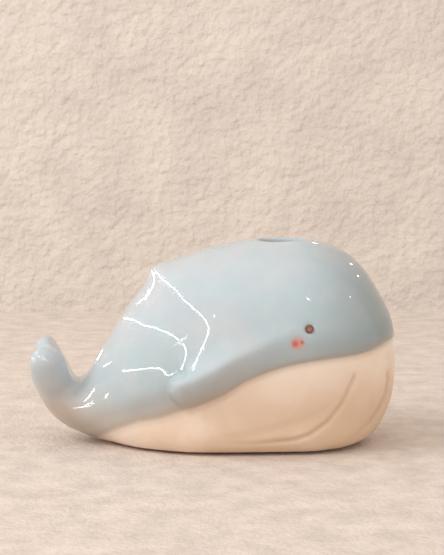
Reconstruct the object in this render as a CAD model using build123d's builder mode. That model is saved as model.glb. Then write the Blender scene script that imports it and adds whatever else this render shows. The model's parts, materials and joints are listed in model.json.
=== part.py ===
from build123d import *
import os

os.makedirs("parts", exist_ok=True)

# Driving dimensions in millimetres. The head looks along +X, the foot stands on Z = 0.
body_length = 120.0
body_width = 66.0
body_height = 68.6
wall = 4.0

mouth_radius = 8.2
mouth_fillet = 0.9

belly_step = 1.2             # the belly lies this far inside the lip of the back
rim_step = 2.2               # the tail lies this far inside the raised rim of the back
lip_fillet = 1.0

pleat_pitch = 13.0
pleat_count = 5
pleat_width = 1.4
pleat_depth = 0.7
pleat_start = 5.0            # below the lip of the back
pleat_splay = 0.22           # degrees of turn for each millimetre from the middle plane

eye_radius = 1.35
eye_sink = 0.5

flipper_height = 17.0
flipper_thickness = 11.0
flipper_sink = 3.0           # how deep the middle of its root lies in the flank
flipper_tilt = 12.0          # degrees its lower edge turns outwards

fluke_span = 38.0
fluke_thickness = 14.0
fluke_height = 17.0
fluke_rise = 0.70            # rise of a lobe for each millimetre outwards
fluke_sweep = 0.20           # travel of a lobe to the rear for each millimetre outwards
fluke_tilt = 20.0            # degrees its upper edge turns to the rear

half_length = body_length / 2
half_width = body_width / 2
half_height = body_height / 2
body_mid = Vector(0.2 * half_length, 0, half_height)
outside = body_length        # reach of the cutting shapes beyond the body
touching = 0.02

# Places in the middle plane as shares of the half length and the height.
mouth_share = (0.387, 1.0)
eye_share = (0.505, 0.615)
pleat_front_share = (0.75, 0.0)
pleat_rear_share = (0.033, 0.0)
fluke_share = (-0.855, 0.255)
snout_share = (1.01, 0.38)

# Sections of the body as shares of the half length, height and half width:
# crown x, crown z, keel x, keel z, width, height of the widest line.
body_shares = [
    (1.000, 0.488, 1.000, 0.270, 0.21, 0.379),
    (0.977, 0.617, 0.977, 0.184, 0.39, 0.401),
    (0.917, 0.729, 0.917, 0.096, 0.58, 0.437),
    (0.805, 0.870, 0.805, 0.007, 0.77, 0.488),
    (0.642, 0.962, 0.642, -0.066, 0.92, 0.532),
    (0.387, 1.000, 0.387, -0.087, 1.00, 0.539),
    (0.083, 0.965, 0.083, -0.087, 1.00, 0.481),
    (-0.167, 0.901, -0.167, -0.087, 0.91, 0.423),
    (-0.417, 0.761, -0.450, -0.056, 0.74, 0.364),
    (-0.617, 0.503, -0.642, -0.008, 0.50, 0.260),
]
tail_shares = [
    (-0.710, 0.335, -0.775, 0.058, 0.37, 0.197),
    (-0.772, 0.327, -0.925, 0.168, 0.30, 0.248),
    (-0.800, 0.357, -0.983, 0.284, 0.28, 0.321),
]
# The lip between back and belly, and the raised rim between back and tail, as x and z shares.
lip_shares = [
    (1.10, 0.501), (0.667, 0.484), (0.333, 0.437), (0.0, 0.313),
    (-0.333, 0.190), (-0.567, 0.102), (-0.767, -0.029),
]
rim_shares = [
    (-0.433, 1.05), (-0.342, 0.845), (-0.177, 0.733), (-0.025, 0.612),
    (-0.092, 0.437), (-0.10, 0.20), (-0.10, -0.15),
]
# The flipper from its root by the eye to its tip: x and z shares, then shares of height, thickness and sink.
flipper_root_share = (0.44, 0.545)
flipper_shares = [
    (0.340, 0.525, 0.75, 0.55, 0.97),
    (0.200, 0.515, 0.95, 0.75, 1.00),
    (0.060, 0.468, 1.00, 0.90, 0.80),
    (-0.070, 0.402, 0.92, 1.00, 0.53),
    (-0.160, 0.372, 0.72, 0.85, 0.27),
    (-0.205, 0.358, 0.42, 0.50, -0.10),
]
flipper_tip_share = (-0.223, 0.354)
# A fluke lobe from the middle of the tail to its tip: shares of half span, thickness and height.
fluke_shares = [(0.0, 0.92, 0.92), (0.3, 0.96, 0.98), (0.6, 0.88, 0.90), (0.86, 0.64, 0.64)]


def at(x_share, z_share):
    return Vector(x_share * half_length, 0, z_share * body_height)


def section(line, inset):
    """One closed cross-section, a quarter ellipse in each quadrant, drawn in towards the middle of the body."""
    crown_x, crown_z, keel_x, keel_z, width, widest = line
    shrink = Vector(1 - inset / half_length, 1 - inset / half_width, 1 - inset / half_height)
    crown = at(crown_x, crown_z) - body_mid
    keel = at(keel_x, keel_z) - body_mid
    crown = body_mid + Vector(crown.X * shrink.X, 0, crown.Z * shrink.Z)
    keel = body_mid + Vector(keel.X * shrink.X, 0, keel.Z * shrink.Z)
    rise = (widest - keel_z) / (crown_z - keel_z)
    height = (crown - keel).length
    up = (crown - keel).normalized()
    across = half_width * width * shrink.Y
    plane = Plane(keel + up * height * rise, x_dir=(0, 1, 0), z_dir=Vector(0, 1, 0).cross(up))
    with BuildSketch(plane) as face:
        with BuildLine():
            for start in (0, 90):
                EllipticalCenterArc((0, 0), across, height * (1 - rise), start, arc_size=90)
            for start in (180, 270):
                EllipticalCenterArc((0, 0), across, height * rise, start, arc_size=90)
        make_face()
    return face.sketch.face()


def hull(inset, tail=()):
    """The body drawn in by the inset, from the snout to the root of the tail or to its end."""
    snout = at(*snout_share)
    sections = [section(line, inset) for line in body_shares] + [section(line, 0) for line in tail]
    with BuildPart() as solid:
        loft(sections=[Vertex(snout.X - inset, 0, snout.Z)] + sections)
    return solid.part


def below_lip(drop, width):
    """Everything under the lip line, lowered by the drop, in a band of this width about the middle plane."""
    points = [(at(*share).X, at(*share).Z - drop) for share in lip_shares]
    with BuildPart() as zone:
        with BuildSketch(Plane.XZ):
            with BuildLine():
                lip = Spline(*points)
                Polyline(lip @ 1, (points[-1][0], -outside), (points[0][0], -outside), lip @ 0)
            make_face()
        extrude(amount=width / 2, both=True)
    return zone.part


def ahead_of_rim():
    """Everything in front of the raised rim."""
    points = [(at(*share).X, at(*share).Z) for share in rim_shares]
    with BuildPart() as zone:
        with BuildSketch(Plane.XZ):
            with BuildLine():
                rim = Spline(*points)
                Polyline(rim @ 1, (points[-1][0], -outside), (outside, -outside), (outside, outside),
                         (points[0][0], outside), rim @ 0)
            make_face()
        extrude(amount=outside, both=True)
    return zone.part


def on_flank(place):
    """The point of the right flank at this place of the middle plane."""
    hits = outer.find_intersection_points(Axis(place, (0, -1, 0)))
    return min((point for point, normal in hits), key=lambda point: point.Y)


def outer_edges(piece, cut_by):
    """Edges that the cut faces of this kind share with the outer skin of the body."""
    skin = outer.shell()
    edges = piece.faces().filter_by(cut_by).edges()
    return edges.filter_by(lambda edge: skin.distance_to(Vertex(edge @ 0.5)) < touching)


outer = hull(0, tail_shares)
lip_zone = below_lip(0, 2 * outside)
rim_zone = ahead_of_rim()
tail_core = hull(rim_step, tail_shares)
eye_place = on_flank(at(*eye_share)) + Vector(0, eye_sink, 0)

# Bead eyes, each a ball seated in its own round socket.
with BuildPart() as right_eye:
    with Locations(eye_place):
        Sphere(eye_radius)
with BuildPart() as left_eye:
    mirror(right_eye.part, about=Plane.XZ)

# The back: a hollow shell above the lip and ahead of the rim, with the round mouth through its crown.
with BuildPart() as back_shell:
    add(outer)
    add(hull(wall), mode=Mode.SUBTRACT)
    add(lip_zone, mode=Mode.SUBTRACT)
    add(rim_zone, mode=Mode.INTERSECT)
    with Locations(at(*mouth_share)):
        Cylinder(mouth_radius, body_height, mode=Mode.SUBTRACT)
    fillet(outer_edges(back_shell, GeomType.EXTRUSION), lip_fillet)
    fillet(outer_edges(back_shell, GeomType.CYLINDER), mouth_fillet)
    add(right_eye.part, mode=Mode.SUBTRACT)
    add(left_eye.part, mode=Mode.SUBTRACT)

# The belly: a hollow shell under the lip, cut flat at the foot, with pleats that close in from the throat back.
pleat_front = at(*pleat_front_share)
with BuildPart() as belly_hollow:
    add(hull(belly_step + wall))
    split(bisect_by=Plane.XY.offset(wall), keep=Keep.TOP)
with BuildPart() as pleats:
    for number in range(pleat_count):
        pleat_y = (number - (pleat_count - 1) / 2) * pleat_pitch
        turn = Rot(0, 0, pleat_splay * pleat_y)
        with Locations(Pos(pleat_front.X, pleat_y, 0) * turn * Pos(-pleat_front.X, 0, 0)):
            add(below_lip(pleat_start, pleat_width))
    split(bisect_by=Plane.YZ.offset(at(*pleat_rear_share).X), keep=Keep.TOP)
    add(hull(belly_step + pleat_depth), mode=Mode.SUBTRACT)
with BuildPart() as belly_shell:
    add(hull(belly_step, tail_shares))
    add(belly_hollow.part, mode=Mode.SUBTRACT)
    add(lip_zone, mode=Mode.INTERSECT)
    add(pleats.part, mode=Mode.SUBTRACT)
    split(bisect_by=Plane.XY, keep=Keep.TOP)

# The tail: hollow as far as its root, butted against the rim of the back and the lip of the belly.
with BuildPart() as tail_stock:
    add(tail_core)
    add(hull(rim_step + wall), mode=Mode.SUBTRACT)
    add(rim_zone, mode=Mode.SUBTRACT)
    add(lip_zone, mode=Mode.SUBTRACT)

# Flukes: two rounded lobes that lean to the rear, meet in the middle plane and cap the end of the tail.
def fluke_place(span):
    """The middle of a lobe at this share of the half span."""
    reach = span * fluke_span / 2
    return at(*fluke_share) + Vector(-fluke_sweep * reach, -reach, fluke_rise * reach)


fluke_sections = []
for span, thickness, height in fluke_shares:
    with BuildSketch(Plane(fluke_place(span), x_dir=(1, 0, 0), z_dir=(0, -1, 0))) as lobe:
        Ellipse(thickness * fluke_thickness / 2, height * fluke_height / 2, rotation=fluke_tilt)
    fluke_sections.append(lobe.sketch.face())
with BuildPart() as right_fluke:
    loft(sections=fluke_sections + [Vertex(fluke_place(1))])
    add(tail_stock.part, mode=Mode.SUBTRACT)
with BuildPart() as left_fluke:
    mirror(right_fluke.part, about=Plane.XZ)

# Flippers: long rolls that grow out of the flanks behind the eyes, turn under at the lip and end in a round tip.
flipper_root = on_flank(at(*flipper_root_share)) + Vector(0, flipper_sink, 0)
flipper_tip = on_flank(at(*flipper_tip_share))
flipper_way = at(*flipper_tip_share) - at(*flipper_root_share)
flipper_sections = []
for x_share, z_share, height, thickness, sink in flipper_shares:
    middle = on_flank(at(x_share, z_share)) + Vector(0, sink * flipper_sink, 0)
    with BuildSketch(Plane(middle, x_dir=(0, 1, 0), z_dir=flipper_way)) as roll:
        Ellipse(thickness * flipper_thickness / 2, height * flipper_height / 2, rotation=flipper_tilt)
    flipper_sections.append(roll.sketch.face())
with BuildPart() as front_core:
    add(outer)
    add(rim_zone, mode=Mode.INTERSECT)
with BuildPart() as right_flipper:
    loft(sections=[Vertex(flipper_root)] + flipper_sections + [Vertex(flipper_tip)])
    add(front_core.part, mode=Mode.SUBTRACT)
    add(tail_core, mode=Mode.SUBTRACT)
    add(belly_shell.part, mode=Mode.SUBTRACT)
with BuildPart() as left_flipper:
    mirror(right_flipper.part, about=Plane.XZ)

pieces = {
    "back_shell": back_shell, "belly_shell": belly_shell, "tail_stock": tail_stock,
    "right_fluke": right_fluke, "left_fluke": left_fluke,
    "right_flipper": right_flipper, "left_flipper": left_flipper,
    "right_eye": right_eye, "left_eye": left_eye,
}
for name, piece in pieces.items():
    piece.part.label = name
    export_step(piece.part, f"parts/{name}.step")
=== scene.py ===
import json
from math import ceil, pi, radians, tan

import bmesh
import bpy
import numpy as np
from mathutils import Matrix, Vector
from mathutils.bvhtree import BVHTree
from mathutils.interpolate import poly_3d_calc

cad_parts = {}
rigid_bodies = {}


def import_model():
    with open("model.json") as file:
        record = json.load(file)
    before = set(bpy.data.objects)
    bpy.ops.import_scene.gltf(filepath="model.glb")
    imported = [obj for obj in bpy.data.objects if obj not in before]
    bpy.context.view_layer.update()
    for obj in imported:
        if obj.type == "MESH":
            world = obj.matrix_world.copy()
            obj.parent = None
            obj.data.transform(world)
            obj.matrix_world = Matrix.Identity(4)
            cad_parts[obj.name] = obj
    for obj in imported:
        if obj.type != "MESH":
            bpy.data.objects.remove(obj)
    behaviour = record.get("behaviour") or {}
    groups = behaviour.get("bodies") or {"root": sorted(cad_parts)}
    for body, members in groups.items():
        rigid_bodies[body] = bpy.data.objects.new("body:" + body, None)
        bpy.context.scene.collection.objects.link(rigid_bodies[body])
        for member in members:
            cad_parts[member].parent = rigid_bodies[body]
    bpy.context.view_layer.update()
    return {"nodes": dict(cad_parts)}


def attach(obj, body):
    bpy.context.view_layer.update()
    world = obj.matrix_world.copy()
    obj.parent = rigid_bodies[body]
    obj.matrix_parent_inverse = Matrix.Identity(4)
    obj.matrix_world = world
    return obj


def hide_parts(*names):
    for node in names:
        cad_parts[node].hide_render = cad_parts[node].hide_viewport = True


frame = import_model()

scene = bpy.context.scene
MM = 0.001

# Clay body: back, tail, flukes and belly are slip-cast in parts, luted together while leather-hard and
# sponged, so their outer faces flow into each other. The whole body is shaped here and parted at its joints
# further down.
BLUE_NODES = ("back_shell", "tail_stock", "right_fluke", "left_fluke")
CLAY_GRAIN = 0.6 * MM
MERGE_GAP = 0.001 * MM
SPONGE_PASSES = 14
SPONGE_PULL = 0.5             # share of the way to its neighbours that a pass draws a vertex
WEB_MIDDLE = (-52.7, 0, 22.0)     # of the slip that fills the notch between the fluke lobes
WEB_RADII = (6.4, 12.0, 10.0)
PAD_MIDDLE = (-56.4, 12.0, 28.0)  # of the clay that makes the left lobe as blunt as the right one
PAD_RADII = (5.2, 7.5, 6.4)
SAG_X = (-42, -34, -24, -16, 4, 8, 11, 46, 58)  # the edge of the dipped glaze sags towards the tail
SAG = (1.8, 1.4, 0.9, 1.7, 1.7, 0.8, 0.0, 0.0, -1.4)
MOUTH_X = 23.2
MOUTH_REACH = 9.4             # a little wider than the bore of the mouth
MOUTH_DEPTH = 3.2             # how much of the bore belongs to the outer skin
BORE_CUT = 4                  # how much of the bore below that is cut away


def fused_clay(nodes):
    """Merged copies of the CAD solids, fused into one even mesh with every edge sponged round."""
    clay = bmesh.new()
    for node in nodes:
        solid = bmesh.new()
        solid.from_mesh(frame["nodes"][node].data)
        bmesh.ops.remove_doubles(solid, verts=solid.verts, dist=MERGE_GAP)
        copy = bpy.data.meshes.new(node)
        solid.to_mesh(copy)
        solid.free()
        clay.from_mesh(copy)
    for middle, radii in ((WEB_MIDDLE, WEB_RADII), (PAD_MIDDLE, PAD_RADII)):
        shape = Matrix.Translation(Vector(middle) * MM) @ Matrix.Diagonal((*radii, 1 / MM)) * MM
        bmesh.ops.create_uvsphere(clay, u_segments=48, v_segments=24, radius=1, matrix=shape)
    mesh = bpy.data.meshes.new("clay")
    clay.to_mesh(mesh)
    clay.free()
    holder = bpy.data.objects.new("clay", mesh)
    scene.collection.objects.link(holder)
    fuse = holder.modifiers.new("fuse", "REMESH")
    fuse.mode = "VOXEL"
    fuse.voxel_size = CLAY_GRAIN
    soften = holder.modifiers.new("soften", "SMOOTH")
    soften.factor = SPONGE_PULL
    soften.iterations = SPONGE_PASSES
    graph = bpy.context.evaluated_depsgraph_get()
    fused = bpy.data.meshes.new_from_object(holder.evaluated_get(graph))
    bpy.data.objects.remove(holder)
    fused.materials.clear()
    fused.shade_smooth()
    return fused


def drop_hollow(mesh):
    """Cuts the bore of the mouth, then keeps only the faces that join the snout from outside."""
    shell = bmesh.new()
    shell.from_mesh(mesh)
    floor = max(vert.co.z for vert in shell.verts) - MOUTH_DEPTH * MM
    axis = Vector((MOUTH_X * MM, 0))
    bore = []
    for face in shell.faces:
        middle = face.calc_center_median()
        if floor - BORE_CUT * MM < middle.z < floor and (middle.xy - axis).length < MOUTH_REACH * MM:
            bore.append(face)
    bmesh.ops.delete(shell, geom=bore, context="FACES")
    start = max(shell.faces, key=lambda face: face.calc_center_median().x)
    kept = {start}
    front = [start]
    while front:
        for edge in front.pop().edges:
            for face in edge.link_faces:
                if face not in kept:
                    kept.add(face)
                    front.append(face)
    bmesh.ops.delete(shell, geom=[face for face in shell.faces if face not in kept], context="FACES")
    shell.to_mesh(mesh)
    shell.free()


def read_points(mesh):
    """The mesh's vertices as rows of x, y, z in millimetres."""
    flat = np.empty(len(mesh.vertices) * 3, np.float32)
    mesh.vertices.foreach_get("co", flat)
    return flat.reshape(-1, 3).astype(float) / MM


def move_points(mesh, points):
    """Puts the vertices at these places, in millimetres."""
    mesh.vertices.foreach_set("co", (points * MM).astype(np.float32).ravel())
    mesh.update()


def read_normals(mesh):
    """The vertex normals as rows of x, y, z."""
    flat = np.empty(len(mesh.vertices) * 3, np.float32)
    mesh.vertex_normals.foreach_get("vector", flat)
    return flat.reshape(-1, 3).astype(float)


def node_gap(points, node):
    """How far each point lies from a CAD node, in millimetres."""
    solid = frame["nodes"][node].data
    places = [vert.co for vert in solid.vertices]
    tree = BVHTree.FromPolygons(places, [face.vertices for face in solid.polygons])
    return np.array([tree.find_nearest(Vector(point) * MM)[3] for point in points]) / MM


def sponge(points, edges, weight, passes):
    """Draws each vertex towards the middle of its neighbours, by a weight of 0 to 1 for each."""
    ones, others = np.concatenate((edges, edges[:, ::-1])).T
    count = np.bincount(ones, minlength=len(points))
    for _ in range(passes):
        sums = [np.bincount(ones, points[others, axis], len(points)) for axis in range(3)]
        middle = np.stack(sums, 1) / count[:, None]
        points = points + SPONGE_PULL * weight[:, None] * (middle - points)
    return points


def fade(values, low, high):
    """A smooth 0 to 1 step while the values go from low to high."""
    share = np.clip((values - low) / (high - low), 0, 1)
    return share * share * (3 - 2 * share)


clay = fused_clay((*BLUE_NODES, "belly_shell"))
drop_hollow(clay)
edges = np.array([edge.vertices for edge in clay.edges])
points = read_points(clay)
gaps = np.array([node_gap(points, node) for node in BLUE_NODES])
above_lip = node_gap(points, "belly_shell") - gaps.min(0) + np.interp(points[:, 0], SAG_X, SAG)
nearest = gaps.argmin(0)

# Tail and flukes: the tail sweeps down to the foot and up again into two thick blunt lobes.
# They are luted to the stock and sponged until no crease shows; the raised rim of the back keeps its edge.
FLUKE_SPONGE = 40
SEAM_SPONGE = 70
RIM_SPONGE = 180
LOBE_MIDDLES = ((-51.0, -12.5, 30.0), (-51.0, 12.5, 30.0))
LOBE_SPREAD = (4.0, 7.0, 4.0)
LOBE_FILL = 1.6
LOBE_X = (-42, -45)               # where the left lobe begins, along each axis
LOBE_Y = (-5, 5)
LOBE_Z = (20, 23)
FLUKE_X = (-38, -46)
SEAM_REACH = (7, 2)               # off the lip line, where it is sponged flat behind the flippers
SEAM_X = (2, -10)
RIM_REACH = (11, 4)               # off the joint of back and tail
RIM_SIDES = (6, 20)               # the rim keeps its edge on the spine and is sponged off down the flanks
RIM_LEAST = 0.12
RIM_ABOVE_LIP = (0, 5)
LEAN_Z = (20, 22, 30, 32, 34)     # the front face of the left lobe leans back as it rises
LEAN_X = (-44.3, -46.5, -53.7, -54.8, -55.7)
LEAN_ROUND = 3.0
CAP_TOP = (-57.6, 33.6)           # x and z of the crown of the left lobe
CAP_CURVE = 0.13
CAP_ROUND = 1.5
CAP_Z = (26, 29)
REAR_X = -59.9
REAR_ROUND = 0.6
VALLEY_MIDDLE = (-44.5, 0, 22.0)  # between the flukes and the back of the tail
VALLEY_SPREAD = (4.0, 10.0, 4.0)
VALLEY_DEPTH = 1.0
BUMP_MIDDLE = (-18.0, 0, 58.0)
BUMP_SPREAD = (4.5, 11, 5)
BUMP_HEIGHT = 1.6
NAPE_MIDDLE = (-20.6, 0, 55.4)    # the rim stands out a little where it crosses the spine
NAPE_SPREAD = (3.0, 11.0, 2.8)
NAPE_HEIGHT = 1.7
LIP_MIDDLE = (28.0, -8.5, 66.8)   # the right lip of the mouth stands up a little
LIP_SPREAD = (7.5, 4.0, 3.0)
LIP_HEIGHT = 0.6
SNOUT_MIDDLE = (57.0, 0, 35.0)    # the lip line rises a little at the snout
SNOUT_SPREAD = (9.0, 30.0, 7.0)
SNOUT_LIFT = 1.3


def smooth_max(first, second, blend):
    """The larger of two heights, with a round fillet of this size where they meet."""
    share = np.clip(0.5 + 0.5 * (first - second) / blend, 0, 1)
    return second + (first - second) * share + blend * share * (1 - share)


def bump(points, middle, spread, height):
    """How far each point rises on a soft bump with these spreads along x, y and z."""
    away = (points - np.array(middle)) / np.array(spread)
    return height * np.exp(-(away ** 2).sum(1))


lean = -smooth_max(-points[:, 0], -np.interp(points[:, 2], LEAN_Z, LEAN_X), LEAN_ROUND)
for middle in LOBE_MIDDLES:
    points += read_normals(clay) * bump(points, middle, LOBE_SPREAD, LOBE_FILL)[:, None]
on_lobe = fade(points[:, 0], *LOBE_X) * fade(points[:, 2], *LOBE_Z) * fade(points[:, 1], *LOBE_Y)
points[:, 0] += on_lobe * (lean - points[:, 0])
cap = CAP_TOP[1] - CAP_CURVE * (points[:, 0] - CAP_TOP[0]) ** 2
capped = -smooth_max(-points[:, 2], -cap, CAP_ROUND)
points[:, 2] += on_lobe * fade(points[:, 2], *CAP_Z) * (capped - points[:, 2])
points = sponge(points, edges, fade(points[:, 0], *FLUKE_X), FLUKE_SPONGE)
points[:, 0] = smooth_max(points[:, 0], REAR_X, REAR_ROUND)
points -= read_normals(clay) * bump(points, VALLEY_MIDDLE, VALLEY_SPREAD, VALLEY_DEPTH)[:, None]
points += read_normals(clay) * bump(points, BUMP_MIDDLE, BUMP_SPREAD, BUMP_HEIGHT)[:, None]
points += read_normals(clay) * bump(points, NAPE_MIDDLE, NAPE_SPREAD, NAPE_HEIGHT)[:, None]
points[:, 2] += bump(points, LIP_MIDDLE, LIP_SPREAD, LIP_HEIGHT)
points[:, 2] += bump(points, SNOUT_MIDDLE, SNOUT_SPREAD, SNOUT_LIFT)

along_seam = fade(np.abs(above_lip), *SEAM_REACH) * fade(points[:, 0], *SEAM_X)
points = sponge(points, edges, along_seam, SEAM_SPONGE)
off_top = RIM_LEAST + (1 - RIM_LEAST) * fade(np.abs(points[:, 1]), *RIM_SIDES)
along_rim = fade(np.abs(gaps[0] - gaps[1]), *RIM_REACH) * off_top * fade(above_lip, *RIM_ABOVE_LIP)
points = sponge(points, edges, along_rim, RIM_SPONGE)

# Flippers: a roll of clay on each flank, luted on behind the eyes and smoothed in, so that the flank flares
# out to a ridge, turns under it and ends in a round free tip at the rear.
RIDGE_X = (-8, -3.7, 1, 6, 12, 18, 24, 28, 33)
RIDGE_Z = (25.4, 27.7, 30.0, 32.8, 35.4, 38.1, 40.9, 42.7, 44.8)
RIDGE_Y = (33.4, 34.8, 35.5, 35.4, 34.8, 33.7, 31.6, 29.0, 22.0)
RIDGE_ROUND = 1.0
RIDGE_TILT = 0.91             # cosine of the ridge's slope
FLARE_SLOPE = (1.6, 0.9)      # at the tip and further forward
FLARE_X = (-8, 6)
FLARE_FILLET = 3.4
UNDER_SLOPE = 0.32
UNDER_CURVE = 0.022
TUCK_FILLET = (0.8, 4.0)      # at the tip and further forward
TUCK_X = (0, 12)
TUCK_BAND = (-4, 0)           # off the ridge, where the fillet changes from tuck to flare
TIP_MIDDLE = (-8.2, 22.2)     # x and z of the round free tip
TIP_RADIUS = 5.7
TIP_TAPER = 5.2               # how far above the tip the flare still draws in
TIP_DROP = 5.5
TIP_CLEAR = 3                 # times that drop, past the tip
TIP_FILLET = ((0, 0.6), (1, 0.45))  # the fillet tightens round the tip
FLIPPER_MIDDLE = 8            # along x
FLIPPER_HALF = 25
FLIPPER_BAND = 16             # above and below the ridge
FLANK_Y = 14
FLIPPER_LIP = (-2.5, 0.5)
ROLL_RISE = (0.0, 0.5)
ROLL_SPONGE = 5
UNDER_TIP_X = -8
UNDER_TIP_REACH = (10, 5)
UNDER_TIP_LIP = (4, 1.5)
UNDER_TIP_SPONGE = 16

off_ridge = RIDGE_TILT * (points[:, 2] - np.interp(points[:, 0], RIDGE_X, RIDGE_Z))
rounded = np.sqrt(off_ridge ** 2 + RIDGE_ROUND ** 2) - RIDGE_ROUND
under = UNDER_SLOPE * rounded + UNDER_CURVE * off_ridge ** 2
flare = np.interp(points[:, 0], FLARE_X, FLARE_SLOPE) * rounded
roll = np.interp(points[:, 0], RIDGE_X, RIDGE_Y) - np.where(off_ridge > 0, flare, under)
above_tip = points[:, 2] - TIP_MIDDLE[1]
tip_height = above_tip / np.where(above_tip > 0, TIP_TAPER, TIP_RADIUS)
half_tip = TIP_RADIUS * np.sqrt(np.clip(1 - tip_height ** 2, 0.001, None))
past_tip = np.clip((TIP_MIDDLE[0] - points[:, 0]) / half_tip, 0, 2)
tip_curve = 1 - np.sqrt(np.clip(1 - past_tip ** 2, 0, 1))
roll -= TIP_DROP * np.where(past_tip < 1, tip_curve, TIP_CLEAR)
width = np.abs(points[:, 1])
tuck = np.interp(points[:, 0], TUCK_X, TUCK_FILLET)
fillet = tuck + np.interp(off_ridge, TUCK_BAND, (0, 1)) * (FLARE_FILLET - tuck)
fillet *= np.interp(past_tip, *TIP_FILLET)
beside = (np.abs(points[:, 0] - FLIPPER_MIDDLE) < FLIPPER_HALF) & (width > FLANK_Y)
beside &= np.abs(off_ridge) < FLIPPER_BAND
flipper_rise = np.where(beside, smooth_max(roll, width, fillet) - width, 0) * fade(above_lip, *FLIPPER_LIP)
points[:, 1] += np.sign(points[:, 1]) * flipper_rise
points = sponge(points, edges, fade(flipper_rise, *ROLL_RISE), ROLL_SPONGE)
under_tip = fade(np.abs(points[:, 0] - UNDER_TIP_X), *UNDER_TIP_REACH)
under_tip *= fade(np.abs(above_lip), *UNDER_TIP_LIP)
points = sponge(points, edges, under_tip, UNDER_TIP_SPONGE)

# Belly: the lower half of the casting, with soft throat pleats drawn into it with a round stick and a flat
# foot. Two pleats show on each flank and one runs down the middle of the front; they fade out behind.
PLEAT_PATHS = (((45.8, 28.6), (45.0, 25.8), (41.3, 17.4), (36.8, 11.4), (31, 7.2), (26, 5.5),
                (13.6, 4.4), (-10, 4.5)),
               ((56.2, 28.5), (57.2, 23.5), (56.4, 18.0), (54.0, 13.0), (51, 8.8), (46, 5.2)))
PLEAT_DEPTH = 0.65
FRONT_FILL = 0.8              # the belly swells out again in front of the lip
FRONT_X = (44, 56)
FRONT_LIP = (-1.5, -7)
FRONT_Z = (1, 8)
PLEAT_HALF = 0.95
PLEAT_START = (0.0, 0.16)     # shares of a pleat's length over which it fades in and out
PLEAT_END = (1.0, 0.7)
PLEAT_Y = (4, 9)
PLEAT_LIP = (-3.0, -7.0)
MIDDLE_X = (40, 52)           # where the pleat down the front fades in
MIDDLE_Z = (4, 10)
SPINE_ENDS = (-45, 38)        # the lower belly spreads out from this line
SPREAD_X = (-52, -40, -25, -8, 40, 56)
SPREAD = (0.8, 1.5, 3.5, 6.8, 6.4, 2.2)
SPREAD_HEIGHT = 9.5
SPREAD_REACH = (5, 13)
SPREAD_FOOT = (-0.3, 1.2)     # the foot itself stays flat
BELLY_LIP = (-2.5, -5.0)
BELLY_SPONGE = 50


def path_gap(flat, path):
    """How far rows of x, z lie from a path of straight runs, and how far along the path, as a share."""
    gap = np.full(len(flat), np.inf)
    along = np.zeros(len(flat))
    for step, (start, end) in enumerate(zip(np.array(path[:-1]), np.array(path[1:]))):
        run = end - start
        share = np.clip(((flat - start) @ run) / (run @ run), 0, 1)
        distance = np.linalg.norm(flat - start - share[:, None] * run, axis=1)
        nearer = distance < gap
        gap = np.where(nearer, distance, gap)
        along = np.where(nearer, (step + share) / (len(path) - 1), along)
    return gap, along


points = sponge(points, edges, fade(above_lip, *BELLY_LIP), BELLY_SPONGE)
outward = points[:, :2] - np.stack((np.clip(points[:, 0], *SPINE_ENDS), np.zeros(len(points))), 1)
reach = np.linalg.norm(outward, axis=1)
spread = np.interp(points[:, 0], SPREAD_X, SPREAD) * np.exp(-(points[:, 2] / SPREAD_HEIGHT) ** 2)
spread *= fade(reach, *SPREAD_REACH) * fade(points[:, 2], *SPREAD_FOOT)
points[:, :2] += outward * (spread / np.maximum(reach, 1))[:, None]
move_points(clay, points)
normals = read_normals(clay)
fuller = FRONT_FILL * fade(points[:, 0], *FRONT_X) * fade(above_lip, *FRONT_LIP)
fuller *= fade(points[:, 2], *FRONT_Z)
points += normals * fuller[:, None]
crease = np.zeros(len(points))
for path in PLEAT_PATHS:
    gap, along = path_gap(points[:, (0, 2)], path)
    strength = fade(along, *PLEAT_START) * fade(along, *PLEAT_END) * fade(np.abs(points[:, 1]), *PLEAT_Y)
    crease = np.maximum(crease, np.exp(-(gap / PLEAT_HALF) ** 2) * strength)
middle = np.exp(-(points[:, 1] / PLEAT_HALF) ** 2) * fade(points[:, 0], *MIDDLE_X)
middle *= fade(points[:, 2], *MIDDLE_Z)
crease = np.maximum(crease, middle) * fade(above_lip, *PLEAT_LIP)
points = points - normals * (PLEAT_DEPTH * crease)[:, None]
move_points(clay, points)
normals = read_normals(clay)


def mark(mesh, name, values):
    """Keeps one number for each vertex, for the material to read."""
    attribute = mesh.attributes.new(name, "FLOAT", "POINT")
    attribute.data.foreach_set("value", np.asarray(values, np.float32))


mark(clay, "above_lip", above_lip)
mark(clay, "pleat", crease)
mark(clay, "row", np.arange(len(points)))

# Glaze: a glossy grey-blue dipped down to the lip line and a satin cream under it, fired together. Where the
# blue runs thin at the lip the brown clay shows through; pink cheeks are dabbed on it. Painted shade darkens
# the front of the head, the band above the lip and the underside of the tail, painted bounce light warms the
# low rear of the tail, and on the cream painted shade browns the front of the throat, the pleats and the
# strip under the lip.
BLUE_COOL = (0.445, 0.565, 0.61)
BLUE_GREY = (0.52, 0.56, 0.605)
# Painted shade: this blue darkens the front of the head and the band above the lip, where shade falls.
BLUE_SHADE = (0.20, 0.265, 0.275)
BLUE_MILKY = (0.56, 0.63, 0.66)
# Painted bounce light: this warm blue stands for the table's warm light on the low rear of the tail.
BLUE_WARM = (0.60, 0.55, 0.51)
# A brown for the thin glaze at the lip and for painted warm shade near the lip, under the lip and under the
# tail.
THIN_GLAZE_AND_SHADE = (0.42, 0.33, 0.25)
CREAM_PALE = (0.98, 0.85, 0.74)
CREAM_WARM = (0.76, 0.555, 0.39)
PLEAT_BROWN = (0.50, 0.29, 0.15)
BLUSH = (0.64, 0.25, 0.19)
DAB = (0.60, 0.12, 0.08)
MILKY_MOTTLE = (0.35, 0.75)
MILKY_SHARE = 0.35
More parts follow.
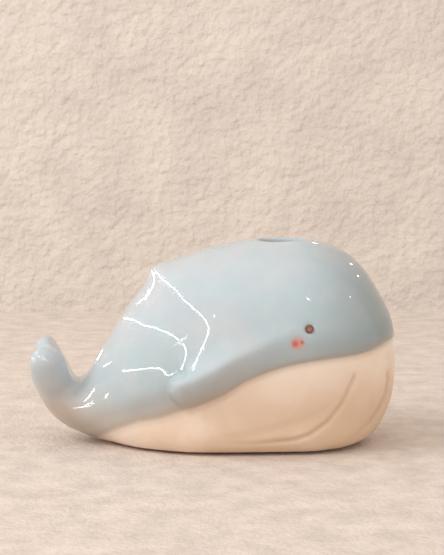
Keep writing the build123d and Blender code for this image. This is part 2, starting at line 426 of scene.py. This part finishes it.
# Painted shade over the front of the head, the side turned away from the window.
HEAD_X = (0.022, 0.062)       # in metres, as all glaze places along an axis
HEAD_SHARE = 0.85
# Painted shade on the band above the lip, under the flank and the flipper ridge.
LIP_BAND = (11, 3)            # in millimetres above the lip line, as all glaze places at the lip
BAND_SHARE = 0.35
# Painted warm bounce light from the table, low on the tail.
TAIL_Z = (0.026, 0.008)
TAIL_X = (-0.02, -0.04)
TAIL_SHARE = 0.75
# Painted warm shade on the band above the lip, behind the head.
WARM_SHADE_X = (0.016, 0.0)
WARM_SHADE_SHARE = 0.4
# The edge at the lip is partly thin glaze and partly painted warm shade, stronger towards the rear.
RAGGED = 3.0                  # how far the mottle shifts the thin edge
THIN_AND_SHADE_BAND = (6.0, 1.5)
THIN_AND_SHADE_X = (0.014, -0.004)
THIN_AND_SHADE_SHARES = (0.35, 0.45)    # gain and least share of the thin edge
# Painted warm shade on the underside of the tail.
UNDER_TAIL = (-50.0, 8.0)     # x and z, in millimetres, as of all spots
UNDER_TAIL_RADII = (3, 14)
PATCHY = (0.6, 0.45)          # gain and least share of the mottle under the tail
EYE = (30.4, 42.2)
HALO_RADII = (1.6, 2.6)
HALO_SHARE = 0.35
CHEEK = (26.6, 37.9)
BLUSH_RADII = (0.8, 3.3)
BLUSH_SHARE = 0.7
DABS = ((25.85, 37.8, 1.2), (28.0, 38.15, 0.75))
DAB_EDGE = (0.3, 1.3)         # shares of a dab's radius
BELLY_X = (-0.03, 0.045)
BELLY_SHARES = (0.4, 0.6)     # gain and least share of the warm tone low on the belly
BELLY_Z = (0.044, -0.004)
CLOUD_WARMTH = 0.35
# Painted shade on the front of the throat, the side turned away from the window.
THROAT_X = (0.034, 0.060)
THROAT_SHADE = 0.3
WARM_RANGE = (0.15, 1.25)
# Painted shade in the pleats.
PLEAT_SHADE_RANGE = (0.2, 1.0)
PLEAT_SHADE_SHARE = 0.3
# Painted shade under the overhanging blue lip.
SHADE_BAND = (-3.0, -0.2)
SHADE_SHARE = 0.4
DIPPED = (-0.9, 0.7)          # the border of blue and cream
COAT_WEIGHTS = (0.6, 0.4)     # what the blue adds to the coat of the cream
WAVE_DEPTH = 0.15 * MM
GLAZE_ROUGHNESS = 0.45
COAT_ROUGHNESS = 0.05


def new_material(name):
    """A material with its node tree and its shader."""
    material = bpy.data.materials.new(name)
    material.use_nodes = True
    return material, material.node_tree, material.node_tree.nodes["Principled BSDF"]


def ramp_of(tree, source, low, high):
    """A smooth 0 to 1 step while the source goes from low to high."""
    step = tree.nodes.new("ShaderNodeMapRange")
    step.interpolation_type = "SMOOTHSTEP"
    step.inputs["From Min"].default_value = low
    step.inputs["From Max"].default_value = high
    tree.links.new(source, step.inputs["Value"])
    return step.outputs["Result"]


def mix_colours(tree, factor, under, over):
    """Mixes two colours; each is a colour value or a socket."""
    mix = tree.nodes.new("ShaderNodeMix")
    mix.data_type = "RGBA"
    for socket, value in ((mix.inputs[0], factor), (mix.inputs[6], under), (mix.inputs[7], over)):
        if hasattr(value, "is_output"):
            tree.links.new(value, socket)
        elif isinstance(value, tuple):
            socket.default_value = (*value, 1)
        else:
            socket.default_value = value
    return mix.outputs[2]


def arithmetic(tree, operation, *values):
    """One sum; each value is a number or a socket."""
    sum_node = tree.nodes.new("ShaderNodeMath")
    sum_node.operation = operation
    for socket, value in zip(sum_node.inputs, values):
        if hasattr(value, "is_output"):
            tree.links.new(value, socket)
        else:
            socket.default_value = value
    return sum_node.outputs[0]


def noise_of(tree, place, scale, detail=2.0, roughness=0.5, distortion=0.0):
    """Soft noise on these coordinates, 0 to 1; the scale is in waves for each metre."""
    noise = tree.nodes.new("ShaderNodeTexNoise")
    noise.inputs["Scale"].default_value = scale
    noise.inputs["Detail"].default_value = detail
    noise.inputs["Roughness"].default_value = roughness
    noise.inputs["Distortion"].default_value = distortion
    tree.links.new(place, noise.inputs["Vector"])
    return noise.outputs["Fac"]


def relief(tree, shader, height, distance):
    """Feeds a height into the shader's normal."""
    bump = tree.nodes.new("ShaderNodeBump")
    bump.inputs["Distance"].default_value = distance
    tree.links.new(height, bump.inputs["Height"])
    tree.links.new(bump.outputs["Normal"], shader.inputs["Normal"])


def glaze_group():
    """Glaze over clay, for every glazed piece: drifting clouds of thickness and a faintly wavy surface."""
    group = bpy.data.node_groups.new("glaze_flow", "ShaderNodeTree")
    group.interface.new_socket("Place", in_out="INPUT", socket_type="NodeSocketVector")
    for name in ("Clouds", "Mottle", "Waves"):
        group.interface.new_socket(name, in_out="OUTPUT", socket_type="NodeSocketFloat")
    entry = group.nodes.new("NodeGroupInput")
    leave = group.nodes.new("NodeGroupOutput")
    place = entry.outputs["Place"]
    clouds = ramp_of(group, noise_of(group, place, 38, 3.0, 0.55, 0.6), 0.32, 0.68)
    mottle = noise_of(group, place, 150, 4.0, 0.6)
    ripple = noise_of(group, place, 420, 2.0)
    waves = arithmetic(group, "MULTIPLY_ADD", ripple, 0.15, noise_of(group, place, 110, 1.0))
    for name, value in (("Clouds", clouds), ("Mottle", mottle), ("Waves", waves)):
        group.links.new(value, leave.inputs[name])
    return group


glaze_flow = glaze_group()


def glazed(name):
    """A glazed material with its tree, shader, object coordinates and glaze effect."""
    material, tree, shader = new_material(name)
    place = tree.nodes.new("ShaderNodeTexCoord").outputs["Object"]
    flow = tree.nodes.new("ShaderNodeGroup")
    flow.node_tree = glaze_flow
    tree.links.new(place, flow.inputs["Place"])
    return material, tree, shader, place, flow.outputs


def vertex_mark(tree, name):
    """A number kept on the vertices."""
    attribute = tree.nodes.new("ShaderNodeAttribute")
    attribute.attribute_name = name
    return attribute.outputs["Fac"]


def spot(tree, place, centre, inner, outer):
    """1 within the inner radius of a place on either flank, fading to 0 at the outer one, in millimetres."""
    flat = tree.nodes.new("ShaderNodeVectorMath")
    flat.operation = "MULTIPLY"
    flat.inputs[1].default_value = (1 / MM, 0, 1 / MM)
    tree.links.new(place, flat.inputs[0])
    distance = tree.nodes.new("ShaderNodeVectorMath")
    distance.operation = "DISTANCE"
    distance.inputs[1].default_value = (centre[0], 0, centre[1])
    tree.links.new(flat.outputs[0], distance.inputs[0])
    return ramp_of(tree, distance.outputs["Value"], outer, inner)


def blue_coat(tree, place, axes, flow, lip):
    """The blue glaze: cloudy, thin and brown at the lip, painted shade on the head, above the lip and under
    the tail, painted bounce light low on the tail, cheeks dabbed on.
    """
    colour = mix_colours(tree, flow["Clouds"], BLUE_COOL, BLUE_GREY)
    milky = arithmetic(tree, "MULTIPLY", ramp_of(tree, flow["Mottle"], *MILKY_MOTTLE), MILKY_SHARE)
    colour = mix_colours(tree, milky, colour, BLUE_MILKY)
    # Painted shade: the front of the head, turned away from the window, is darkened towards the shade blue.
    ahead = arithmetic(tree, "MULTIPLY", ramp_of(tree, axes["X"], *HEAD_X), HEAD_SHARE)
    colour = mix_colours(tree, ahead, colour, BLUE_SHADE)
    # Painted shade: the band just above the lip faces down under the flipper ridge and is darkened here.
    near_lip = ramp_of(tree, lip, *LIP_BAND)
    colour = mix_colours(tree, arithmetic(tree, "MULTIPLY", near_lip, BAND_SHARE), colour, BLUE_SHADE)
    # Painted bounce light: low on the tail the blue is warmed as if lit by the table below.
    rear = ramp_of(tree, axes["X"], *TAIL_X)
    low = arithmetic(tree, "MULTIPLY", ramp_of(tree, axes["Z"], *TAIL_Z), rear)
    colour = mix_colours(tree, arithmetic(tree, "MULTIPLY", low, TAIL_SHARE), colour, BLUE_WARM)
    # Painted warm shade: the band above the lip is browned towards the rear, on its down-facing side.
    warm_shade = arithmetic(tree, "MULTIPLY", near_lip, ramp_of(tree, axes["X"], *WARM_SHADE_X))
    colour = mix_colours(tree, arithmetic(tree, "MULTIPLY", warm_shade, WARM_SHADE_SHARE), colour, THIN_GLAZE_AND_SHADE)
    # Partly real, partly painted: the blue turns brown at its thin edge along the lip, and the stronger brown
    # towards the rear is painted warm shade.
    ragged = arithmetic(tree, "MULTIPLY_ADD", flow["Mottle"], RAGGED, lip)
    behind = arithmetic(tree, "MULTIPLY_ADD", ramp_of(tree, axes["X"], *THIN_AND_SHADE_X), *THIN_AND_SHADE_SHARES)
    thin = arithmetic(tree, "MULTIPLY", ramp_of(tree, ragged, *THIN_AND_SHADE_BAND), behind)
    colour = mix_colours(tree, thin, colour, THIN_GLAZE_AND_SHADE)
    # Painted warm shade: a mottled brown spot on the underside of the tail, where the table's light bounces
    # up into its shade.
    patchy = arithmetic(tree, "MULTIPLY_ADD", flow["Mottle"], *PATCHY)
    under_tail = arithmetic(tree, "MULTIPLY", spot(tree, place, UNDER_TAIL, *UNDER_TAIL_RADII), patchy)
    colour = mix_colours(tree, under_tail, colour, THIN_GLAZE_AND_SHADE)
    halo = arithmetic(tree, "MULTIPLY", spot(tree, place, EYE, *HALO_RADII), HALO_SHARE)
    colour = mix_colours(tree, halo, colour, BLUE_MILKY)
    blush = arithmetic(tree, "MULTIPLY", spot(tree, place, CHEEK, *BLUSH_RADII), BLUSH_SHARE)
    colour = mix_colours(tree, blush, colour, BLUSH)
    for x, z, radius in DABS:
        dab = spot(tree, place, (x, z), DAB_EDGE[0] * radius, DAB_EDGE[1] * radius)
        colour = mix_colours(tree, dab, colour, DAB)
    return colour


def cream_coat(tree, axes, flow, lip):
    """The cream glaze: pale and pinkish high in front, warmer low down, with painted shade on the front of
    the throat, in the pleats and under the lip.
    """
    paler_behind = arithmetic(tree, "MULTIPLY_ADD", ramp_of(tree, axes["X"], *BELLY_X), *BELLY_SHARES)
    low = arithmetic(tree, "MULTIPLY", ramp_of(tree, axes["Z"], *BELLY_Z), paler_behind)
    warm = arithmetic(tree, "MULTIPLY_ADD", flow["Clouds"], CLOUD_WARMTH, low)
    # Painted shade: the front of the throat is warmed and darkened where it turns away from the light.
    warm = arithmetic(tree, "MULTIPLY_ADD", ramp_of(tree, axes["X"], *THROAT_X), THROAT_SHADE, warm)
    colour = mix_colours(tree, ramp_of(tree, warm, *WARM_RANGE), CREAM_PALE, CREAM_WARM)
    # Painted shade: the creases of the pleats are browned where shade falls in them.
    creased = ramp_of(tree, vertex_mark(tree, "pleat"), *PLEAT_SHADE_RANGE)
    colour = mix_colours(tree, arithmetic(tree, "MULTIPLY", creased, PLEAT_SHADE_SHARE), colour, PLEAT_BROWN)
    # Painted shadow: the cream just under the overhanging blue lip is darkened brown.
    under_lip = arithmetic(tree, "MULTIPLY", ramp_of(tree, lip, *SHADE_BAND), SHADE_SHARE)
    return mix_colours(tree, under_lip, colour, THIN_GLAZE_AND_SHADE)


whale_glaze, tree, shader, place, flow = glazed("whale_glaze")
split = tree.nodes.new("ShaderNodeSeparateXYZ")
tree.links.new(place, split.inputs[0])
lip = vertex_mark(tree, "above_lip")
dipped = ramp_of(tree, lip, *DIPPED)
cream = cream_coat(tree, split.outputs, flow, lip)
blue = blue_coat(tree, place, split.outputs, flow, lip)
tree.links.new(mix_colours(tree, dipped, cream, blue), shader.inputs["Base Color"])
coat = arithmetic(tree, "MULTIPLY_ADD", dipped, *COAT_WEIGHTS)
tree.links.new(coat, shader.inputs["Coat Weight"])
relief(tree, shader, flow["Waves"], WAVE_DEPTH)
shader.inputs["Roughness"].default_value = GLAZE_ROUGHNESS
shader.inputs["Coat Roughness"].default_value = COAT_ROUGHNESS

# Parting: the body comes apart along its luted joints into the pieces it was cast in, each a closed wall.
# The glaze runs over the joints, so each piece keeps the shading of the whole skin along its edges.
WALL = 3.0
FLIPPER_EDGE = 0.7            # rise of the skin from which it belongs to a flipper
PIECES = (("back", "back_shell", "blue_glaze"), ("tail", "tail_stock", "blue_glaze"),
          ("fluke_right", "right_fluke", "blue_glaze"), ("fluke_left", "left_fluke", "blue_glaze"),
          ("flipper_right", "right_flipper", "blue_glaze"), ("flipper_left", "left_flipper", "blue_glaze"),
          ("belly", "belly_shell", "cream_glaze"))
ORDER = {name: order for order, (name, _, _) in enumerate(PIECES)}

corners = [list(face.vertices) for face in clay.polygons]
label = np.empty(len(corners), int)
for index, corner in enumerate(corners):
    if above_lip[corner].mean() < 0:
        label[index] = ORDER["belly"]
    elif flipper_rise[corner].mean() > FLIPPER_EDGE:
        label[index] = ORDER["flipper_right" if points[corner, 1].mean() < 0 else "flipper_left"]
    else:
        label[index] = np.bincount(nearest[corner]).argmax()


def part_off(name, order):
    """One piece of the body: its faces, walled inwards, with the normals of the whole skin outside."""
    shell = bmesh.new()
    shell.from_mesh(clay)
    shell.faces.ensure_lookup_table()
    others = [shell.faces[row] for row in np.flatnonzero(label != order)]
    bmesh.ops.delete(shell, geom=others, context="FACES")
    mesh = bpy.data.meshes.new(name)
    shell.to_mesh(mesh)
    shell.free()
    outer = len(mesh.loops)
    piece = bpy.data.objects.new(name, mesh)
    scene.collection.objects.link(piece)
    wall = piece.modifiers.new("wall", "SOLIDIFY")
    wall.thickness = WALL * MM
    wall.offset = -1
    graph = bpy.context.evaluated_depsgraph_get()
    walled = bpy.data.meshes.new_from_object(piece.evaluated_get(graph))
    piece.modifiers.clear()
    piece.data = walled
    rows = np.empty(len(walled.vertices), np.float32)
    walled.attributes["row"].data.foreach_get("value", rows)
    walled.attributes.remove(walled.attributes["row"])
    used = np.empty(len(walled.loops), np.int32)
    walled.loops.foreach_get("vertex_index", used)
    shading = np.zeros((len(used), 3))
    shading[:outer] = normals[rows[used[:outer]].astype(int)]
    walled.normals_split_custom_set(shading.tolist())
    walled.materials.append(whale_glaze)
    return piece


for order, (name, node, slot) in enumerate(PIECES):
    piece = part_off(name, order)
    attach(piece, "root")
    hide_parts(node)

# Eyes: small brown-glazed clay beads, pressed into sockets in the flanks before the glaze firing.
# The brown turns to rust in a mottled patch in the middle of the bead.
EYE_RUST = (0.34, 0.12, 0.06)
EYE_BROWN = (0.13, 0.045, 0.03)
CROWN_RADII = (0.2, 1.2)
CROWN_RANGE = (0.05, 0.6)
BEAD_WAVES = 0.1 * MM
BEAD_ROUGHNESS = 0.3

bead, tree, shader, place, flow = glazed("brown_bead")
crown = arithmetic(tree, "MULTIPLY", spot(tree, place, EYE, *CROWN_RADII), flow["Mottle"])
brown = mix_colours(tree, ramp_of(tree, crown, *CROWN_RANGE), EYE_BROWN, EYE_RUST)
tree.links.new(brown, shader.inputs["Base Color"])
relief(tree, shader, flow["Waves"], BEAD_WAVES)
shader.inputs["Roughness"].default_value = BEAD_ROUGHNESS
shader.inputs["Coat Weight"].default_value = 1.0
shader.inputs["Coat Roughness"].default_value = COAT_ROUGHNESS
for node in ("right_eye", "left_eye"):
    frame["nodes"][node].data.materials.clear()
    frame["nodes"][node].data.materials.append(bead)

# Table and wall: a plain pale table top and a plain plastered wall behind it, both a warm off-white.
# Neither belongs to the whale; they only carry it and close the view.
TABLE_TONE = (0.79, 0.69, 0.62)
WALL_TONE = (0.785, 0.71, 0.645)
WALL_Y = 0.315
STAGE_SIZE = 3.0


def stage_sheet(name, material, turn, shift):
    """One flat sheet of the stage, turned about X and shifted in its mesh."""
    sheet = bmesh.new()
    bmesh.ops.create_grid(sheet, x_segments=1, y_segments=1, size=STAGE_SIZE / 2)
    bmesh.ops.rotate(sheet, verts=sheet.verts, matrix=Matrix.Rotation(radians(turn), 3, "X"))
    bmesh.ops.translate(sheet, verts=sheet.verts, vec=shift)
    mesh = bpy.data.meshes.new(name)
    sheet.to_mesh(mesh)
    sheet.free()
    mesh.materials.append(material)
    piece = bpy.data.objects.new(name, mesh)
    scene.collection.objects.link(piece)


def matt(name, tone, shade, mottle_scale, grain_scale, depth):
    """A matt pale finish with a faint change of tone and a fine relief, on the front of a sheet."""
    material, tree, shader = new_material(name)
    place = tree.nodes.new("ShaderNodeTexCoord").outputs["Object"]
    tint = ramp_of(tree, noise_of(tree, place, mottle_scale, 6.0, 0.7), 0.3, 0.7)
    darker = tuple(shade * part for part in tone)
    tree.links.new(mix_colours(tree, tint, tone, darker), shader.inputs["Base Color"])
    relief(tree, shader, noise_of(tree, place, grain_scale, 3.0), depth)
    shader.inputs["Roughness"].default_value = 0.8
    behind = tree.nodes.new("ShaderNodeNewGeometry").outputs["Backfacing"]
    tree.links.new(arithmetic(tree, "SUBTRACT", 1, behind), shader.inputs["Alpha"])
    return material


stage_sheet("table_top", matt("table_finish", TABLE_TONE, 0.79, 90, 600, 0.6 * MM), 0, (0, 0, 0))
stage_sheet("wall", matt("wall_plaster", WALL_TONE, 0.86, 25, 190, 2.1 * MM), 90, (0, WALL_Y, 0))

# Camera: level with the top of the whale, looking slightly down on its right flank.
# The picture is 444 by 555 pixels, and the lens is given by its length in those pixels.
LENS_PIXELS = 1600
FRAME_HEIGHT = 555
CAMERA_PLACE = (3.04 * MM, -525.3 * MM, 115.6 * MM)
CAMERA_DIP = 6.6

camera = bpy.data.cameras.new("camera")
camera.sensor_width = 36
camera.lens = LENS_PIXELS / FRAME_HEIGHT * camera.sensor_width
holder = bpy.data.objects.new("camera", camera)
holder.location = CAMERA_PLACE
camera_turn = Matrix.Rotation(radians(90 - CAMERA_DIP), 3, "X")
holder.rotation_euler = camera_turn.to_euler()
scene.collection.objects.link(holder)
scene.camera = holder

# Light: a warm pale room and one large soft window up on the left. Short bright slits near the skin show as
# thin lines and specks where the glaze mirrors them, and two small windows put glints on the left flank.
ROOM_TONE = (1.0, 0.95, 0.90, 1)
ROOM_STRENGTH = 0.92
WINDOW_PLACE = (-0.93, -0.45, 0.93)
WINDOW_AIM = (0, 0, 0.03)
WINDOW_SIZE = 0.8
WINDOW_POWER = 9.2
SIDE_WINDOWS = (((20, 280, 150), (12, 32, 36)),  # place and aim of each small window, in millimetres
                ((-200, 240, 130), (-8, 28, 36)))
SIDE_SIZE = 0.04
SIDE_SPREAD = 8               # degrees; the beams stay on the left flank
SIDE_GLARE = 20.0             # radiance
SLIT_FAR = 0.06               # from the skin
SLIT_SPREAD = 8               # degrees; each slit lights little more than its own line
SLIT_RUN = 1.6                # the most that one slit draws of a line, in pixels of the picture
SLIT_GLARE = 30.0             # radiance
SLIT_OVERLAP = 1.1            # each slit is this much longer than its run
LINE_HALF = 0.5               # half the breadth of a line in the picture, in its pixels
PICTURE_MIDDLE = (222, 277.5)
SLIT_LINES = (((155, 271), (161, 278), (169, 285), (174, 288), (179, 294), (185, 301), (191, 306), (199, 313),
               (206, 321), (209, 328), (207, 337), (203, 347), (197, 358), (193.5, 366), (193.5, 370)),
              ((152, 271), (154.5, 280), (152, 289), (146, 297), (137.5, 303.5)),
              ((124, 318), (134, 320), (145, 326), (154, 327), (163, 331), (172, 335), (180, 341), (185, 347),
               (186.5, 353), (184.5, 362), (181, 370)),
              ((122, 371), (135, 370), (150, 368), (161, 368.5), (165, 373), (168, 376)),
              ((98.3, 358.5), (100.8, 352.5)),
              ((104, 366), (110, 363)),
              ((89, 377), (92, 383), (93.4, 390), (89, 397), (84.5, 401.5)),
              ((108, 393), (104, 400), (99, 404), (92, 406), (83, 406)))
FAINT_LINES = (((35.5, 352.5), (42, 360)), ((31.5, 357), (36, 361)), ((42.7, 357.7), (47, 360.6)))
FAINT_HALF = 0.4
SPECKS = ((351, 264, 0.7), (358, 276, 0.55), (308, 299, 1.2), (350, 297, 0.55), (214, 316, 0.7),
          (314.5, 243, 0.45))  # across, down and half the breadth


def area_lamp(name, place, turn, size, power):
    """An area lamp at a place, with its turn and its two sides."""
    lamp = bpy.data.lights.new(name, "AREA")
    lamp.shape = "RECTANGLE"
    lamp.size, lamp.size_y = size
    lamp.energy = power
    holder = bpy.data.objects.new(name, lamp)
    holder.location = place
    holder.rotation_euler = turn.to_euler()
    scene.collection.objects.link(holder)
    return holder


def gloss_lamp(name, place, turn, sides, spread, glare):
    """A lamp of this radiance in a narrow beam, seen only in the gloss of what it lights."""
    beam = radians(spread) / 2
    power = glare * pi * sides[0] * sides[1] * (tan(beam) - beam) / tan(beam)
    lamp = area_lamp(name, place, turn, sides, power)
    lamp.data.spread = 2 * beam
    lamp.visible_camera = False
    lamp.visible_diffuse = False
    return lamp


def mirrored(pixel):
    """The place off the skin that it mirrors at a pixel, where it mirrors it, and on which piece."""
    across = (pixel[0] - PICTURE_MIDDLE[0]) / LENS_PIXELS
    up = (PICTURE_MIDDLE[1] - pixel[1]) / LENS_PIXELS
    look = camera_turn @ Vector((across, up, -1)).normalized()
    hit, _, face, _ = skin_tree.ray_cast(Vector(CAMERA_PLACE), look)
    ring = corners[face]
    shares = poly_3d_calc([Vector(points[row]) * MM for row in ring], hit)
    normal = Vector(np.average(normals[ring], 0, shares)).normalized()
    return hit + look.reflect(normal) * SLIT_FAR, hit, bpy.data.objects[PIECES[label[face]][0]]


def gloss_of(piece):
    """The collection that holds this piece alone, for the lamps that only light its gloss."""
    name = f"gloss_{piece.name}"
    if name not in bpy.data.collections:
        bpy.data.collections.new(name).objects.link(piece)
    return bpy.data.collections[name]


def slit(name, first, last, half):
    """A bright slit that the skin mirrors as a line between two pixels, in the gloss of that piece alone."""
    run = Vector(last) - Vector(first)
    middle = (Vector(last) + Vector(first)) / 2
    beside = run.orthogonal().normalized() * half
    start = mirrored(first)[0]
    end = mirrored(last)[0]
    across = mirrored(middle + beside)[0] - mirrored(middle - beside)[0]
    centre, hit, piece = mirrored(middle)
    facing = (centre - hit).normalized()
    along = (end - start) - facing * (end - start).dot(facing)
    along.normalize()
    side = facing.cross(along)
    sides = (SLIT_OVERLAP * (end - start).length, abs(across.dot(side)))
    turn = Matrix((along, side, facing)).transposed()
    lamp = gloss_lamp(name, centre, turn, sides, SLIT_SPREAD, SLIT_GLARE)
    lamp.light_linking.receiver_collection = gloss_of(piece)


world = bpy.data.worlds.new("room")
scene.world = world
world.use_nodes = True
world.node_tree.nodes["Background"].inputs["Color"].default_value = ROOM_TONE
world.node_tree.nodes["Background"].inputs["Strength"].default_value = ROOM_STRENGTH
aim = (Vector(WINDOW_AIM) - Vector(WINDOW_PLACE)).to_track_quat("-Z", "Y").to_matrix()
window = area_lamp("window", WINDOW_PLACE, aim, (WINDOW_SIZE, WINDOW_SIZE), WINDOW_POWER)
window.visible_glossy = False
for number, (side_place, side_aim) in enumerate(SIDE_WINDOWS):
    turn = (Vector(side_aim) - Vector(side_place)).to_track_quat("-Z", "Y").to_matrix()
    stand = Vector(side_place) * MM
    lamp = gloss_lamp(f"side_window_{number}", stand, turn, (SIDE_SIZE, SIDE_SIZE), SIDE_SPREAD, SIDE_GLARE)
    lamp.light_linking.receiver_collection = gloss_of(bpy.data.objects["back"])

skin_tree = BVHTree.FromPolygons([Vector(point) * MM for point in points], corners)
for number, line in enumerate(SLIT_LINES + FAINT_LINES):
    half = LINE_HALF if line in SLIT_LINES else FAINT_HALF
    for step, (first, last) in enumerate(zip(map(Vector, line[:-1]), map(Vector, line[1:]))):
        count = ceil((last - first).length / SLIT_RUN)
        ends = [first.lerp(last, part / count) for part in range(count + 1)]
        for part in range(count):
            slit(f"slit_{number}_{step}_{part}", ends[part], ends[part + 1], half)
for number, (across, down, half) in enumerate(SPECKS):
    slit(f"speck_{number}", (across - half, down), (across + half, down), half)
scene.view_settings.view_transform = "Standard"
